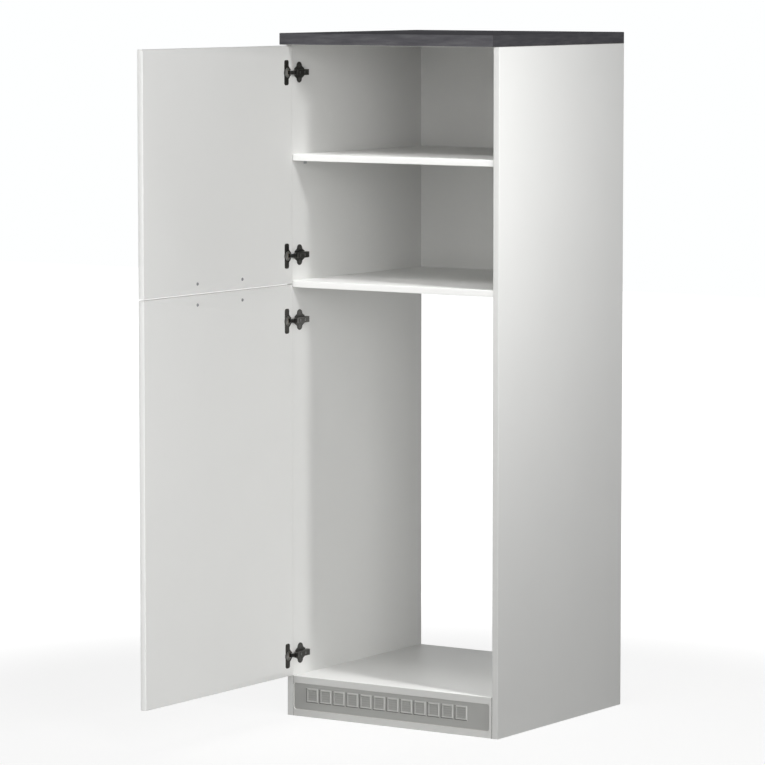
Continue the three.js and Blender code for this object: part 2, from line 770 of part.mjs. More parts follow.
// The mounting plate: a cross-shaped base screwed to the side panel, with a block the arm sits on
function mountingPlate(z) {
  const wing = plateWingWidth / 2;
  const wingTop = plateLength / 2 - wing;
  const waistFront = plateCentre - plateWaist / 2;
  const waistBack = plateCentre + plateWaist / 2;
  const waistTop = plateWaistHeight / 2;
  const outline = new THREE.Shape();
  outline.moveTo(waistFront, -waistTop);
  outline.lineTo(plateCentre - wing, -wingTop);
  outline.absarc(plateCentre, -wingTop, wing, -Math.PI, 0);
  outline.lineTo(waistBack, -waistTop);
  outline.lineTo(waistBack, waistTop);
  outline.lineTo(plateCentre + wing, wingTop);
  outline.absarc(plateCentre, wingTop, wing, 0, Math.PI);
  outline.lineTo(waistFront, waistTop);
  outline.closePath();
  const base = slab(outline, plateThickness, fromSide, [0, 0, z]);
  const saddleTop = armRise - armWall - fitGap;
  const saddleOutline = new THREE.Shape();
  saddleOutline.moveTo(0, saddleFront);
  saddleOutline.lineTo(0, saddleBack);
  saddleOutline.lineTo(saddleTop - saddleChamfer, saddleBack);
  saddleOutline.lineTo(saddleTop, saddleBack - saddleChamfer);
  saddleOutline.lineTo(saddleTop, saddleFront + saddleChamfer);
  saddleOutline.lineTo(saddleTop - saddleChamfer, saddleFront);
  saddleOutline.closePath();
  const saddle = slab(saddleOutline, saddleWidth, fromAbove, [0, 0, z - saddleWidth / 2]);
  const bores = [-1, 1].map((end) => {
    const height = z + end * plateScrewSpacing / 2;
    const outer = plateScrewHead / 2 + fitGap;
    const neck = plateScrewDiameter / 2 + fitGap;
    const centre = [0, plateCentre, height];
    const through = rod(neck, [-overrun, plateCentre, height], [overrun, plateCentre, height], smallSides);
    return joined(through, rod(neck, centre, [plateThickness, plateCentre, height], smallSides, outer));
  });
  return cut(joined(base, saddle), ...bores);
}

function plateScrew(z) {
  const tip = [-plateScrewLength, plateCentre, z];
  const shank = peg(plateScrewDiameter, tip, [plateThickness / 2, plateCentre, z]);
  const headTop = [plateThickness, plateCentre, z];
  const head = rod(plateScrewDiameter / 2, [0, plateCentre, z], headTop, smallSides, plateScrewHead / 2);
  return joined(shank, head);
}

// A bow handle: a flat bar bent down at both ends to two feet on the door's outer face
function handle(z) {
  const outer = -doorThickness;
  const crown = outer - handleProjection;
  const left = handlePlaces[0] - handleEndMargin;
  const right = handlePlaces[1] + handleEndMargin;
  const innerCorner = handleCorner - handleBar;
  const outline = new THREE.Shape();
  outline.moveTo(left, outer);
  outline.lineTo(left, crown + handleCorner);
  outline.absarc(left + handleCorner, crown + handleCorner, handleCorner, Math.PI, 1.5 * Math.PI);
  outline.lineTo(right - handleCorner, crown);
  outline.absarc(right - handleCorner, crown + handleCorner, handleCorner, -Math.PI / 2, 0);
  outline.lineTo(right, outer);
  outline.lineTo(right - handleFoot - handleBar, outer);
  outline.lineTo(right - handleFoot - handleBar, crown + handleBar + innerCorner);
  outline.absarc(
    right - handleFoot - handleBar - innerCorner,
    crown + handleBar + innerCorner,
    innerCorner,
    0,
    -Math.PI / 2,
    true,
  );
  outline.lineTo(left + handleFoot + handleBar + innerCorner, crown + handleBar);
  outline.absarc(
    left + handleFoot + handleBar + innerCorner,
    crown + handleBar + innerCorner,
    innerCorner,
    -Math.PI / 2,
    Math.PI,
    true,
  );
  outline.lineTo(left + handleFoot + handleBar, outer);
  outline.closePath();
  const bow = slab(outline, handleHeight, fromAbove, [0, 0, z - handleHeight / 2]);
  const bores = handlePlaces.map((x) => {
    const depth = outer - handleScrewGrip - fitGap;
    return bore(handleScrewDiameter, [x, outer + overrun, z], [x, depth, z]);
  });
  return cut(bow, ...bores);
}

function handleScrew(x, z) {
  const tip = [x, -doorThickness - handleScrewGrip, z];
  const shank = peg(handleScrewDiameter, tip, [x, handleScrewHeadRise / 2, z]);
  const crown = [x, handleScrewHeadRise, z];
  const head = rod(handleScrewHead / 2, [x, 0, z], crown, roundSides, handleScrewHead / 3);
  return joined(shank, head);
}

// The whole unit
const unit = new THREE.Group();

unit.add(piece('side_panel_left', sidePanel(-1), melamine));
unit.add(piece('side_panel_right', sidePanel(1), melamine));
unit.add(piece('top_plate', topPlate(), slate));
const fixedShelf = bandedShelf(inner, front, shelfBack, fixedShelfUnderside);
unit.add(piece('fixed_shelf', heldBoard(fixedShelf, fixedShelfUnderside), melamine));
const bottomPanel = box([-inner, plinthBack, bottomUnderside], [inner, back, plinthHeight]);
unit.add(piece('bottom_panel', heldBoard(bottomPanel, bottomUnderside), melamine));
unit.add(piece('back_panel', backPanel(), melamine));
unit.add(piece('plinth_board', plinthBoard(), melamine));
unit.add(piece('vent_grille', ventGrille(), greyPlastic));

const looseShelfFront = front + looseShelfSetback;
const looseShelfBack = shelfBack - looseShelfBackGap;
const looseReach = inner - looseShelfPlay;
const looseShelf = bandedShelf(looseReach, looseShelfFront, looseShelfBack, looseShelfUnderside);
unit.add(piece('adjustable_shelf', looseShelf, melamine));

const sideNames = new Map([[-1, 'left'], [1, 'right']]);
const depthNames = ['front', 'rear'];
for (const [side, sideName] of sideNames) {
  depthNames.forEach((depthName, i) => {
    const place = `${depthName}_${sideName}`;
    unit.add(piece(`shelf_cam_${place}`, camFitting(side, fittingPlaces[i], fixedShelfUnderside), zinc));
    unit.add(piece(`bottom_cam_${place}`, camFitting(side, fittingPlaces[i], bottomUnderside), zinc));
    unit.add(piece(`top_dowel_${place}`, topDowel(side, topDowelPlaces[i]), beech));
    unit.add(piece(`shelf_pin_${place}`, shelfPin(side, shelfPinPlaces[i]), zinc));
  });
  unit.add(piece(`plinth_dowel_${sideName}`, plinthDowel(side), beech));
}

// Each door turns about a line that the hinges make, in front of the side panel's front edge
const doors = [
  { name: 'upper', span: upperDoorSpan, hinges: upperHinges, handleAt: upperDoorSpan[0] + handleMargin },
  { name: 'lower', span: lowerDoorSpan, hinges: lowerHinges, handleAt: lowerDoorSpan[1] - handleMargin },
];
const hingeNames = ['bottom', 'top'];

for (const { name, span, hinges, handleAt } of doors) {
  const swing = new THREE.Group();
  swing.position.set(pivotX, pivotY, 0);
  swing.rotation.z = -Math.PI / 2;
  const leaf = new THREE.Group();
  leaf.position.set(-width / 2 + doorReveal - pivotX, front - doorStandOff - pivotY, 0);
  leaf.add(piece(`${name}_door`, door(span, hinges, handleAt), melamine));
  leaf.add(piece(`${name}_handle`, handle(handleAt), brushedSteel));
  leaf.add(piece(`${name}_handle_screw_inner`, handleScrew(handlePlaces[0], handleAt), zinc));
  leaf.add(piece(`${name}_handle_screw_outer`, handleScrew(handlePlaces[1], handleAt), zinc));
  const fixed = new THREE.Group();
  fixed.position.set(-inner, front, 0);
  hinges.forEach((z, i) => {
    const hinge = `${name}_${hingeNames[i]}`;
    leaf.add(piece(`${hinge}_hinge_cup`, hingeCup(z), bronzedSteel));
    fixed.add(piece(`${hinge}_hinge_link`, hingeLink(z), bronzedSteel));
    fixed.add(piece(`${hinge}_hinge_arm`, hingeArm(z), bronzedSteel));
    fixed.add(piece(`${hinge}_mounting_plate`, mountingPlate(z), bronzedSteel));
    fixed.add(piece(`${hinge}_plate_screw_low`, plateScrew(z - plateScrewSpacing / 2), zinc));
    fixed.add(piece(`${hinge}_plate_screw_high`, plateScrew(z + plateScrewSpacing / 2), zinc));
  });
  swing.add(leaf);
  unit.add(swing, fixed);
}

export default unit;
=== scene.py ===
"""The looks of a fridge housing unit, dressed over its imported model. Lengths are in metres."""

import json
import math

import bmesh
import bpy
import numpy as np
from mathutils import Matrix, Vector

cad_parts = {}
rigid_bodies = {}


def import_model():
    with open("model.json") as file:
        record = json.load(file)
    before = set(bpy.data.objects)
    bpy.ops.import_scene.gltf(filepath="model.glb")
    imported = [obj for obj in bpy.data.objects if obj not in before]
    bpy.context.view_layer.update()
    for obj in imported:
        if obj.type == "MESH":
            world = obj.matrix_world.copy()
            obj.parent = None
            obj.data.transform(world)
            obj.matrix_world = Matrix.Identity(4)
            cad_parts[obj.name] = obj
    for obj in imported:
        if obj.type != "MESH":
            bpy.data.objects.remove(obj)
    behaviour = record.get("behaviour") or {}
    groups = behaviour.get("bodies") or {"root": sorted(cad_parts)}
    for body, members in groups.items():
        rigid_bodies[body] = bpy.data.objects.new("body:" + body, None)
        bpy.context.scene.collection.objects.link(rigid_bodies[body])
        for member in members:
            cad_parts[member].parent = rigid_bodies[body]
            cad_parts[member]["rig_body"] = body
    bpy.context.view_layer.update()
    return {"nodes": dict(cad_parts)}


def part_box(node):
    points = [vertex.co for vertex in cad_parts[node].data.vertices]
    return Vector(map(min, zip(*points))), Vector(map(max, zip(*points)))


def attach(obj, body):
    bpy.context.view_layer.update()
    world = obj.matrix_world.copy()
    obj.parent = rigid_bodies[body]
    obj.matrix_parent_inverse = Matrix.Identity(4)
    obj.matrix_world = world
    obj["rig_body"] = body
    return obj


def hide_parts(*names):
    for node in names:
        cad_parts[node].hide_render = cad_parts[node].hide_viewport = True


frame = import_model()

# The camera stands well away, to the right of the unit and at the height of its top plate, with a long
# lens, so that uprights stay nearly parallel.
CAMERA_PLACE = (5.46632, -8.32617, 1.81059)
CAMERA_TURN = 33.42673
CAMERA_DIP = 5.64454
FOCAL_LENGTH = 198.648
SENSOR = 36.0
VIEW_REACH = 60.0

camera = bpy.data.objects.new("camera", bpy.data.cameras.new("camera"))
camera.data.sensor_width = SENSOR
camera.data.lens = FOCAL_LENGTH
camera.data.clip_end = VIEW_REACH
camera.location = CAMERA_PLACE
camera.rotation_euler = (math.radians(90.0 - CAMERA_DIP), 0.0, math.radians(CAMERA_TURN))
bpy.context.scene.collection.objects.link(camera)
bpy.context.scene.camera = camera
bpy.context.scene.view_settings.view_transform = "Standard"

# The studio: a firm lamp low on the right, wide soft lamps in front, on the right and behind, small ones
# for the right side, the shelves, the foot and the doors, and a pale surround, white where the camera or
# a gloss looks at it.
KEY_FROM = Vector((1.0, -0.122, 0.22))
KEY_STRENGTH = 0.75
KEY_SPREAD = 5.0
MIDDLE = Vector((0.0, 0.0, 1.0))
FRONT_PLACE = Vector((0.6, -5.0, 1.9))
FRONT_SIZE = 3.0
FRONT_POWER = 47.0
RIGHT_PLACE = Vector((4.4, -3.4, 2.0))
RIGHT_SIZE = 2.0
RIGHT_POWER = 82.0
HIGH_RIGHT_PLACE = Vector((3.8, -3.0, 4.2))
HIGH_RIGHT_POWER = 31.0
REAR_PLACE = Vector((-2.4, 3.8, 2.6))
REAR_SIZE = 2.0
REAR_POWER = 150.0
SMALL_SIZE = 0.5
SIDE_AIM = Vector((0.3, 0.1, 1.2))
HIGH_SIDE_PLACE = Vector((1.8, -0.6, 2.2))
HIGH_SIDE_POWER = 4.0
NEAR_SIDE_PLACE = Vector((1.2, -0.5, 1.5))
NEAR_SIDE_POWER = 10.0
LOW_SIDE_PLACE = Vector((4.0, -3.0, 0.5))
LOW_SIDE_SIZE = 1.5
LOW_SIDE_POWER = 29.0
SHELF_PLACE = Vector((0.25, -1.2, 3.1))
SHELF_POWER = 16.0
SILL_PLACE = Vector((-0.1, -0.6, 3.4))
SILL_POWER = 16.0
CROSSING_PLACE = Vector((3.2, -0.62, 3.3))
CROSSING_SIZE = 0.4
CROSSING_POWER = 140.0
DOOR_LAMP_PLACE = Vector((-1.0, -5.0, 1.4))
DOOR_LAMP_POWER = 42.0
SURROUND = (0.99, 1.0, 1.0)
SURROUND_STRENGTH = 0.09


class Value:
    """One socket of a node tree. Signs such as + and * on it, or beside a plain number, add Math nodes."""

    def __init__(self, nodes, socket):
        self.nodes = nodes
        self.socket = socket

    def math(self, operation, *others):
        """A Math node with that operation on this value and the others."""
        sockets = {f"_{i}": value for i, value in enumerate((self, *others))}
        return self.nodes.add("Math", {"operation": operation}, **sockets)

    def __add__(self, other):
        return self.math("ADD", other)

    def __radd__(self, other):
        return self.math("ADD", other)

    def __sub__(self, other):
        return self.math("SUBTRACT", other)

    def __rsub__(self, other):
        return (self * -1.0) + other

    def __mul__(self, other):
        return self.math("MULTIPLY", other)

    def __rmul__(self, other):
        return self.math("MULTIPLY", other)

    def __lt__(self, other):
        return self.math("LESS_THAN", other)

    def __gt__(self, other):
        return self.math("GREATER_THAN", other)

    def __abs__(self):
        return self.math("ABSOLUTE")

    def step(self, low, high):
        """0 below low, 1 above high, and smooth between them."""
        return self.nodes.add("MapRange", {"interpolation_type": "SMOOTHSTEP"}, Value=self,
                              _1=low, _2=high, _3=0.0, _4=1.0)


class Nodes:
    """A node tree being filled. add() makes any node from its type, its settings and its sockets."""

    def __init__(self, tree):
        self.tree = tree

    def add(self, kind, settings=None, output=0, **sockets):
        """A new node of that kind, and its output of that number or name."""
        node = self.tree.nodes.new("ShaderNode" + kind)
        for key, value in (settings or {}).items():
            if key == "stops":
                self.set_stops(node.color_ramp.elements, value)
            else:
                setattr(node, key, value)
        self.join(node, sockets)
        return Value(self, node.outputs[output])

    def set_stops(self, elements, stops):
        """Gives a ramp these stops, each a place from 0 to 1 and a colour."""
        while len(elements) < len(stops):
            elements.new(1.0)
        for element, (place, shade) in zip(elements, stops):
            element.position = place
            element.color = (*shade, 1.0)

    def join(self, node, sockets):
        """Sets each named socket, or the one numbered _0, _1 ..., to a value or links it."""
        for key, value in sockets.items():
            socket = node.inputs[int(key[1:])] if key[0] == "_" else node.inputs[key.replace("_", " ")]
            if isinstance(value, Value):
                self.tree.links.new(value.socket, socket)
            elif socket.type == "RGBA":
                socket.default_value = (*value, 1.0)
            else:
                socket.default_value = value


world = bpy.data.worlds.new("studio")
world.use_nodes = True
bpy.context.scene.world = world
around = Nodes(world.node_tree)
sees_camera = around.add("LightPath")
sees_gloss = around.add("LightPath", output="Is Glossy Ray")
sees_through = around.add("LightPath", output="Is Transmission Ray")
looked_at = (sees_camera + sees_gloss + sees_through).math("MINIMUM", 1.0)
strength = looked_at * (1.0 - SURROUND_STRENGTH) + SURROUND_STRENGTH
around.join(world.node_tree.nodes["Background"], {"Color": SURROUND, "Strength": strength})


def lamp(name, kind, energy, place, aim, size=0.0):
    """A lamp at place that shines at aim."""
    made = bpy.data.objects.new(name, bpy.data.lights.new(name, kind))
    made.data.energy = energy
    made.location = place
    made.rotation_euler = (place - aim).to_track_quat("Z", "Y").to_euler()
    if size:
        made.data.size = size
    bpy.context.scene.collection.objects.link(made)
    return made


key_lamp = lamp("key_lamp", "SUN", KEY_STRENGTH, KEY_FROM, Vector())
key_lamp.data.angle = math.radians(KEY_SPREAD)
front_lamp = lamp("front_lamp", "AREA", FRONT_POWER, FRONT_PLACE, MIDDLE, FRONT_SIZE)
right_lamp = lamp("right_lamp", "AREA", RIGHT_POWER, RIGHT_PLACE, MIDDLE, RIGHT_SIZE)
high_right_lamp = lamp("high_right_lamp", "AREA", HIGH_RIGHT_POWER, HIGH_RIGHT_PLACE, MIDDLE, RIGHT_SIZE)
rear_lamp = lamp("rear_lamp", "AREA", REAR_POWER, REAR_PLACE, MIDDLE, REAR_SIZE)
high_side_lamp = lamp("high_side_lamp", "AREA", HIGH_SIDE_POWER, HIGH_SIDE_PLACE, SIDE_AIM, SMALL_SIZE)
near_side_lamp = lamp("near_side_lamp", "AREA", NEAR_SIDE_POWER, NEAR_SIDE_PLACE, SIDE_AIM, SMALL_SIZE)
shelf_lamp = lamp("shelf_lamp", "AREA", SHELF_POWER, SHELF_PLACE, MIDDLE, SMALL_SIZE)
sill_lamp = lamp("sill_lamp", "AREA", SILL_POWER, SILL_PLACE, Vector(), SMALL_SIZE)
low_side_lamp = lamp("low_side_lamp", "AREA", LOW_SIDE_POWER, LOW_SIDE_PLACE, MIDDLE, LOW_SIDE_SIZE)
door_lamp = lamp("door_lamp", "AREA", DOOR_LAMP_POWER, DOOR_LAMP_PLACE, MIDDLE, SMALL_SIZE)
crossing_lamp = lamp("crossing_lamp", "AREA", CROSSING_POWER, CROSSING_PLACE, MIDDLE, CROSSING_SIZE)


def shine_on(one_lamp, state, *pieces):
    """The lamp lights these pieces alone where state is INCLUDE, or all but these where it is EXCLUDE."""
    lit = bpy.data.collections.new(one_lamp.name + "_lit")
    one_lamp.light_linking.receiver_collection = lit
    for piece in pieces:
        lit.objects.link(piece)
    for link in lit.collection_objects:
        link.light_linking.link_state = state


# The floor is a pale sheet that keeps the unit's shadow round its foot, and further off is white where
# the camera looks at it.
FLOOR_REACH = 12.0
FLOOR_SHADE = (0.80, 0.80, 0.79)
FLOOR_CLOUD_SHADE = (0.82, 0.82, 0.81)
FLOOR_CLOUDS_PER_METRE = 1.5
FLOOR_ROUGHNESS = 0.9
FLOOR_SHARE = 0.7
FLOOR_GLOW = 1.2
SHADOW_REACH = 1.1


class Finish(Nodes):
    """A material being made: its nodes, and the place on the object in metres."""

    def __init__(self, name):
        self.material = bpy.data.materials.new(name)
        self.material.use_nodes = True
        super().__init__(self.material.node_tree)
        self.shader = self.tree.nodes["Principled BSDF"]
        self.place = self.add("TexCoord", output="Object")
        self.x, self.y, self.z = (
            self.add("SeparateXYZ", output=axis, Vector=self.place) for axis in "XYZ")

    def grain(self, scale, detail=3.0, roughness=0.55, stretch=(1.0, 1.0, 1.0), shift=0.0):
        """Soft noise from 0 to 1 with that many cells a metre, drawn out where stretch is below 1."""
        vector = self.add("Mapping", Vector=self.place, Scale=stretch, Location=(shift, shift, shift))
        return self.add("TexNoise", {"normalize": True}, Vector=vector, Scale=scale, Detail=detail,
                        Roughness=roughness)

    def mix(self, factor, first, second):
        """The colour first, turning to second as factor goes from 0 to 1."""
        return self.add("Mix", {"data_type": "RGBA"}, output=2, _0=factor, _6=first, _7=second)

    def deepened(self, factor, colour, share):
        """The colour, turning to that share of itself as factor goes from 0 to 1."""
        return self.mix(factor, colour, tuple(share * c for c in colour))

    def bump(self, height, depth):
        """A normal for relief that is depth metres high where height goes from 0 to 1."""
        return self.add("Bump", Strength=1.0, Distance=depth, Height=height)

    def done(self, **sockets):
        """Sets the surface's sockets and gives the material."""
        self.join(self.shader, sockets)
        return self.material


def floor_finish():
    """Pale sheet, mostly white where the camera or a gloss looks at it, so its shadows stay faint."""
    floor = Finish("pale floor")
    cloud = floor.grain(FLOOR_CLOUDS_PER_METRE)
    floor.done(Base_Color=floor.mix(cloud, FLOOR_SHADE, FLOOR_CLOUD_SHADE), Roughness=FLOOR_ROUGHNESS)
    seen = floor.add("LightPath") + floor.add("LightPath", output="Is Glossy Ray")
    away = (floor.x * floor.x + floor.y * floor.y).math("SQRT").step(SHADOW_REACH, 2.0 * SHADOW_REACH)
    share = FLOOR_SHARE + (1.0 - FLOOR_SHARE) * away
    glow = floor.add("Emission", Strength=FLOOR_GLOW)
    mixed = floor.add("MixShader", Fac=seen.math("MINIMUM", 1.0) * share,
                      _1=Value(floor, floor.shader.outputs[0]), _2=glow)
    floor.tree.links.new(mixed.socket, floor.tree.nodes["Material Output"].inputs["Surface"])
    return floor.material


floor_mesh = bpy.data.meshes.new("floor")
corners = FLOOR_REACH * np.array([(-1, -1, 0), (1, -1, 0), (1, 1, 0), (-1, 1, 0)], float)
floor_mesh.from_pydata(corners.tolist(), [], [(0, 1, 2, 3)])
floor_mesh.materials.append(floor_finish())
floor = bpy.data.objects.new("floor", floor_mesh)
bpy.context.scene.collection.objects.link(floor)

# The side panels are 16 mm chipboard with a white melamine skin on both faces and a 1 mm band glued to
# the front edge. Their other edges and their bores show the raw board.
MELAMINE = (0.80, 0.80, 0.785)
BAND_WHITE = (0.80, 0.80, 0.785)
SEAM_SHADE = (0.60, 0.60, 0.58)
# The joint colour is a painted shadow, for the shade inside an open joint at a board's ends.
JOINT_PAINTED_SHADOW = (0.10, 0.10, 0.095)
SKIN = 0.0003
BAND = 0.001
SEAM = 0.00012
CHIP_STOPS = ((0.0, (0.25, 0.15, 0.08)), (0.4, (0.44, 0.30, 0.17)), (1.0, (0.62, 0.47, 0.30)))
CHIPS_PER_METRE = 420.0
DUST_PER_METRE = 1400.0
CHIP_SHARE = 0.75
CLOUDS_PER_METRE = 6.0
CLOUD_SHARE = 0.97
PEARLS_PER_METRE = 900.0
PEARL_RELIEF = 0.1
BOARD_ROUGHNESS = 0.42
CLOUD_ROUGHNESS = 0.08
RAW_ROUGHNESS = 0.4
BOARD_RELIEF = 0.0002
SATIN_GLOSS = 0.5
BOARD_EASING = 0.0004
EASING_STEPS = 2
MERGE = 0.000001
FLAT_BELOW = math.radians(0.5)
SMOOTH_BELOW = math.radians(40.0)
EASED_ABOVE = math.radians(60.0)
EDGES = {"left": (0, 0), "right": (0, 1), "front": (1, 0), "rear": (1, 1), "foot": (2, 0), "head": (2, 1)}


def chipboard(finish):
    """The colour and the relief of raw chipboard: flat chips in several browns, with dust between."""
    cells = finish.add("TexVoronoi", output="Color", Vector=finish.place, Scale=CHIPS_PER_METRE)
    chance = finish.add("SeparateColor", Color=cells)
    dust = finish.grain(DUST_PER_METRE)
    speckle = chance * CHIP_SHARE + dust * (1.0 - CHIP_SHARE)
    shade = finish.add("ValToRGB", {"stops": CHIP_STOPS}, Fac=speckle)
    return shade, chance


def board_masks(board, node, thin, banded, skin):
    """Where the raw core lies open, where the bands are, and the glue lines behind the bands. thin is the
    axis across the board, and banded names the edges that have a band."""
    core = 1.0
    band = 0.0
    seam = 0.0
    covered = [(thin, 0), (thin, 1), *(EDGES[edge] for edge in banded)]
    for axis, end in covered:
        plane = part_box(node)[end][axis]
        depth = ((board.x, board.y, board.z)[axis] - plane) * (1.0 - 2.0 * end)
        cover = skin if axis == thin else BAND
        core = core * (depth > cover)
        if axis != thin:
            band = band + (depth < BAND)
            seam = seam + (abs(depth - BAND) < SEAM)
    return core, band, seam


def board_finish(node, thin, banded, skin, white, band_white, joint, gloss=SATIN_GLOSS):
    """White melamine with a pearl grain, bands with a hairline behind them, a painted shadow at the ends
    where a joint is given, and the raw core.
    """
    board = Finish(node + " melamine")
    core, band, seam = board_masks(board, node, thin, banded, skin)
    cloud = board.grain(CLOUDS_PER_METRE)
    pearl = board.grain(PEARLS_PER_METRE, detail=2.0)
    raw_shade, raw_relief = chipboard(board)
    shade = board.deepened(cloud, white, CLOUD_SHARE)
    shade = board.mix(band, shade, band_white)
    shade = board.mix(seam, shade, SEAM_SHADE)
    # Where a joint width is given, a painted shadow darkens the board's ends, for the shade in the open
    # joint.
    if joint:
        shade = board.mix(abs(board.x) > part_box(node)[1].x - joint, shade, JOINT_PAINTED_SHADOW)
    roughness = BOARD_ROUGHNESS + CLOUD_ROUGHNESS * cloud + RAW_ROUGHNESS * core
    relief = pearl * PEARL_RELIEF + raw_relief * core
    return board.done(Base_Color=board.mix(core, shade, raw_shade), Roughness=roughness,
                      Specular_IOR_Level=gloss, Normal=board.bump(relief, BOARD_RELIEF))


def merged_copy(node, name):
    """A copy of a node's solid, with its doubles merged and its flat faces made whole."""
    worked = bmesh.new()
    worked.from_mesh(frame["nodes"][node].data)
    bmesh.ops.remove_doubles(worked, verts=worked.verts, dist=MERGE)
    bmesh.ops.dissolve_limit(worked, angle_limit=FLAT_BELOW, verts=worked.verts, edges=worked.edges)
    mesh = bpy.data.meshes.new(name)
    worked.to_mesh(mesh)
    worked.free()
    if "custom_normal" in mesh.attributes:
        mesh.attributes.remove(mesh.attributes["custom_normal"])
    return mesh


def fitted(mesh, node, finish, easing=0.0):
    """The finished piece in place of its node: smooth on its round sides, with its sharp edges eased."""
    mesh.materials.clear()
    mesh.materials.append(finish)
    mesh.shade_smooth()
    mesh.set_sharp_from_angle(angle=SMOOTH_BELOW)
    piece = bpy.data.objects.new(mesh.name, mesh)
    bpy.context.scene.collection.objects.link(piece)
    if easing:
        bevel = piece.modifiers.new("eased edges", "BEVEL")
        bevel.width = easing
        bevel.segments = EASING_STEPS
        bevel.limit_method = "ANGLE"
        bevel.angle_limit = EASED_ABOVE
        bevel.harden_normals = True
    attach(piece, frame["nodes"][node]["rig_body"])
    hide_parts(node)
    return piece


def board(node, thin, banded, skin=SKIN, white=MELAMINE, band_white=BAND_WHITE, joint=0.0):
    """One white board in place of its node, with a painted shadow at its ends where it leaves an open
    joint.
    """
    mesh = merged_copy(node, node + "_board")
    finish = board_finish(node, thin, banded, skin, white, band_white, joint)
    return fitted(mesh, node, finish, BOARD_EASING)


board("side_panel_left", 0, ("front",))
right_side = board("side_panel_right", 0, ("front",))

# The bottom panel and the two shelves are boards of the same kind. The loose shelf is banded all round,
# and the other two are bored from below for the fittings that draw them to the side panels. The shelves'
# bands are painted whiter than the other boards, a painted highlight for the light that falls on their
# front edges.
SHELF_BAND_PAINTED_LIGHT = (0.90, 0.90, 0.885)

bottom = board("bottom_panel", 2, ("front",))
fixed_shelf = board("fixed_shelf", 2, ("front",), band_white=SHELF_BAND_PAINTED_LIGHT)
loose_shelf = board("adjustable_shelf", 2, ("front", "rear", "left", "right"), band_white=SHELF_BAND_PAINTED_LIGHT)

# The back panel is 3 mm hardboard, white on its face and bare brown behind, slid into grooves in the
# side panels.
HARDBOARD = ((0.0, (0.20, 0.115, 0.06)), (0.5, (0.29, 0.175, 0.10)), (1.0, (0.36, 0.235, 0.14)))
BARE_DEPTH = 0.0015
FIBRES_PER_METRE = 700.0
FIBRE_STRETCH = (1.0, 1.0, 0.4)
FIBRE_SHARE = 0.7
BACK_CLOUDS_PER_METRE = 5.0
MESHES_PER_METRE = 900.0
FOIL_ROUGHNESS = 0.5
BARE_ROUGHNESS = 0.3
NET_RELIEF = 0.5
FOIL_RELIEF = 0.05
HARDBOARD_RELIEF = 0.00015
HARDBOARD_EASING = 0.0003


def hardboard_finish():
    """White foil in front, and behind it pressed fibre with the fine net of its press."""
    back = Finish("hardboard")
    rear = back.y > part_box("back_panel")[1].y - BARE_DEPTH
    fibre = back.grain(FIBRES_PER_METRE, detail=5.0, stretch=FIBRE_STRETCH)
    cloud = back.grain(BACK_CLOUDS_PER_METRE)
    net = back.add("TexVoronoi", Vector=back.place, Scale=MESHES_PER_METRE)
    tone = fibre * FIBRE_SHARE + cloud * (1.0 - FIBRE_SHARE)
    brown = back.add("ValToRGB", {"stops": HARDBOARD}, Fac=tone)
    white = back.deepened(cloud, MELAMINE, CLOUD_SHARE)
    roughness = FOIL_ROUGHNESS + BARE_ROUGHNESS * rear
    relief = (net + fibre) * rear * NET_RELIEF + fibre * FOIL_RELIEF
    return back.done(Base_Color=back.mix(rear, white, brown), Roughness=roughness,
                     Normal=back.bump(relief, HARDBOARD_RELIEF))


back_mesh = merged_copy("back_panel", "back_panel_hardboard")
fitted(back_mesh, "back_panel", hardboard_finish(), HARDBOARD_EASING)

# The top plate is 28 mm chipboard under a slate-grey laminate with a streaked grain, and its end faces are
# darker, with streaks of the same kind running along them. It lies on the side panels, held by dowels.
SLATE = ((0.0, (0.095, 0.094, 0.104)), (0.5, (0.148, 0.146, 0.159)), (1.0, (0.215, 0.213, 0.222)))
END_SHARE = 0.75
BACKING = (0.62, 0.61, 0.59)
LAMINATE = 0.0008
STREAKS_PER_METRE = 120.0
STREAK_STRETCH = 0.12
END_SHIFT = 0.3
PORES_PER_METRE = 1500.0
PORE_STRETCH = (0.2, 0.4, 1.0)
STREAK_CONTRAST = 1.5
PORE_CONTRAST = 0.35
SLATE_ROUGHNESS = 0.56
PORE_ROUGHNESS = 0.12
EDGE_ROUGHNESS = 0.2
STREAK_RELIEF = 0.2


def streaks(slate, stretch, shift):
    """Streaks drawn out along the axis where stretch is below 1."""
    return slate.grain(STREAKS_PER_METRE, detail=5.0, roughness=0.6, stretch=stretch, shift=shift)


def slate_finish():
    """Laminate with streaks along the plate, or along its ends there, a pale underside and a raw rear."""
    slate = Finish("slate laminate")
    low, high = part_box("top_plate")
    ends = abs(slate.x) > high.x - LAMINATE
    streak = streaks(slate, (STREAK_STRETCH, 1.0, 1.0), 0.0)
    end_streak = streaks(slate, (1.0, STREAK_STRETCH, 1.0), END_SHIFT)
    pores = slate.grain(PORES_PER_METRE, detail=2.0, stretch=PORE_STRETCH)
    figure = streak * (1.0 - ends) + end_streak * ends
    tone = (figure - 0.5) * STREAK_CONTRAST + 0.5 + (pores - 0.5) * PORE_CONTRAST
    shade = slate.add("ValToRGB", {"stops": SLATE}, Fac=tone)
    dark = slate.add("Mix", {"data_type": "RGBA", "blend_type": "MULTIPLY"}, output=2, _0=ends, _6=shade,
                     _7=(END_SHARE, END_SHARE, END_SHARE))
    core = board_masks(slate, "top_plate", 2, ("left", "right", "front"), LAMINATE)[0]
    underside = slate.z < low.z + LAMINATE
    raw_shade, raw_relief = chipboard(slate)
    shade = slate.mix(underside, dark, BACKING)
    roughness = SLATE_ROUGHNESS + PORE_ROUGHNESS * pores + EDGE_ROUGHNESS * core
    relief = (figure + pores) * STREAK_RELIEF + raw_relief * core
    return slate.done(Base_Color=slate.mix(core, shade, raw_shade), Roughness=roughness,
                      Specular_IOR_Level=0.0, Normal=slate.bump(relief, BOARD_RELIEF))


